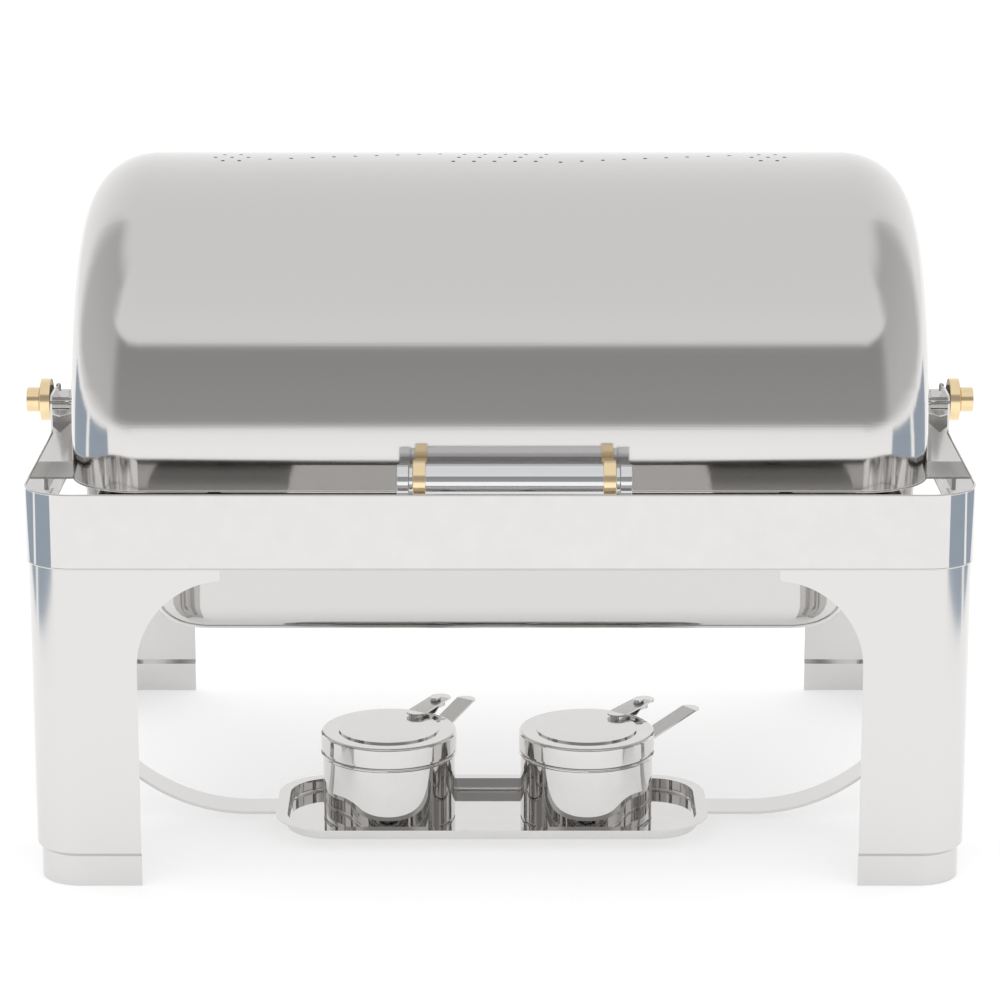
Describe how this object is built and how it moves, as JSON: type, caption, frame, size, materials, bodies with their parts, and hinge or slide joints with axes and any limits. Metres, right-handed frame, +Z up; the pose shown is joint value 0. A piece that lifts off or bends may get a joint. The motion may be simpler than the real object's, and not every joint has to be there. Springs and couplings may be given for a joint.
{
  "type": "roll top chafer",
  "caption": "Full-size roll top chafer: half-round cover rolling on side pivots over a food pan and water pan, corner legs, and a slung tray with lidded fuel holders.",
  "frame": {"origin": "on the ground under the centre of the band", "axes": "+X to the right along the chafer, +Y to the rear, +Z up; the handle is on the front, -Y"},
  "size_m": [0.705, 0.472, 0.483],
  "materials": {
    "satin_steel": "satin brushed stainless steel",
    "polished_steel": "mirror polished stainless steel",
    "chrome_plate": "bright chrome",
    "brass": "polished brass",
    "rubber": "matt black rubber",
    "fibre": "dark fibre washer"
  },
  "bodies": {
    "frame": {"frame_band": "polished_steel", "leg_front_left": "satin_steel", "leg_front_right": "satin_steel", "leg_rear_left": "satin_steel", "leg_rear_right": "satin_steel", "pan_ledge": "polished_steel", "cover_bumpers": "rubber", "pivot_boss_left": "polished_steel", "pivot_boss_right": "polished_steel", "friction_screw_left": "polished_steel", "friction_screw_right": "polished_steel", "stop_tab_left": "polished_steel", "stop_tab_right": "polished_steel", "tray_strap": "satin_steel", "strap_studs": "polished_steel", "strap_nuts": "polished_steel"},
    "cover": {"roll_cover": "satin_steel", "pivot_shaft_left": "polished_steel", "pivot_shaft_right": "polished_steel", "stop_pin_left": "polished_steel", "stop_pin_right": "polished_steel", "pivot_washer_left": "fibre", "pivot_washer_right": "fibre", "knob_left": "brass", "knob_right": "brass", "end_plate_left": "polished_steel", "end_plate_right": "polished_steel", "lock_nut_left": "polished_steel", "lock_nut_right": "polished_steel", "handle_cap_left": "chrome_plate", "handle_cap_right": "chrome_plate", "handle_bracket_left": "brass", "handle_bracket_right": "brass", "handle_tube": "chrome_plate", "handle_screws": "polished_steel"},
    "water_pan": {"water_pan": "polished_steel"},
    "food_pan": {"food_pan": "polished_steel"},
    "fuel_tray": {"fuel_tray": "polished_steel"},
    "pot_left": {"pot_left": "polished_steel", "pot_handle_left": "polished_steel", "pot_rivets_left": "polished_steel"},
    "lid_left": {"lid_left": "polished_steel", "hinge_strip_left": "polished_steel", "damper_rivet_left": "polished_steel"},
    "damper_left": {"damper_disc_left": "polished_steel", "damper_handle_left": "polished_steel"},
    "pot_right": {"pot_right": "polished_steel", "pot_handle_right": "polished_steel", "pot_rivets_right": "polished_steel"},
    "lid_right": {"lid_right": "polished_steel", "hinge_strip_right": "polished_steel", "damper_rivet_right": "polished_steel"},
    "damper_right": {"damper_disc_right": "polished_steel", "damper_handle_right": "polished_steel"}
  },
  "joints": [
    {"name": "cover_roll", "type": "hinge", "parent": "frame", "child": "cover", "pos_m": [0, 0, 0.299], "axis": [-1, 0, 0], "range_deg": [0, 90]},
    {"name": "water_pan_lift", "type": "slide", "parent": "frame", "child": "water_pan", "axis": [0, 0, 1], "range_m": [0, 0.05]},
    {"name": "food_pan_lift", "type": "slide", "parent": "water_pan", "child": "food_pan", "axis": [0, 0, 1], "range_m": [0, 0.06]},
    {"name": "tray_lift", "type": "slide", "parent": "frame", "child": "fuel_tray", "axis": [0, 0, 1], "range_m": [0, 0.008]},
    {"name": "pot_left_lift", "type": "slide", "parent": "fuel_tray", "child": "pot_left", "axis": [0, 0, 1], "range_m": [0, 0.014]},
    {"name": "lid_left_lift", "type": "slide", "parent": "pot_left", "child": "lid_left", "axis": [0, 0, 1], "range_m": [0, 0.014]},
    {"name": "damper_left_swing", "type": "hinge", "parent": "lid_left", "child": "damper_left", "pos_m": [-0.04823, -0.05649, 0.08], "axis": [0, 0, -1], "range_deg": [0, 75]},
    {"name": "pot_right_lift", "type": "slide", "parent": "fuel_tray", "child": "pot_right", "axis": [0, 0, 1], "range_m": [0, 0.014]},
    {"name": "lid_right_lift", "type": "slide", "parent": "pot_right", "child": "lid_right", "axis": [0, 0, 1], "range_m": [0, 0.014]},
    {"name": "damper_right_swing", "type": "hinge", "parent": "lid_right", "child": "damper_right", "pos_m": [0.10306, -0.06158, 0.08], "axis": [0, 0, 1], "range_deg": [0, 75]}
  ]
}
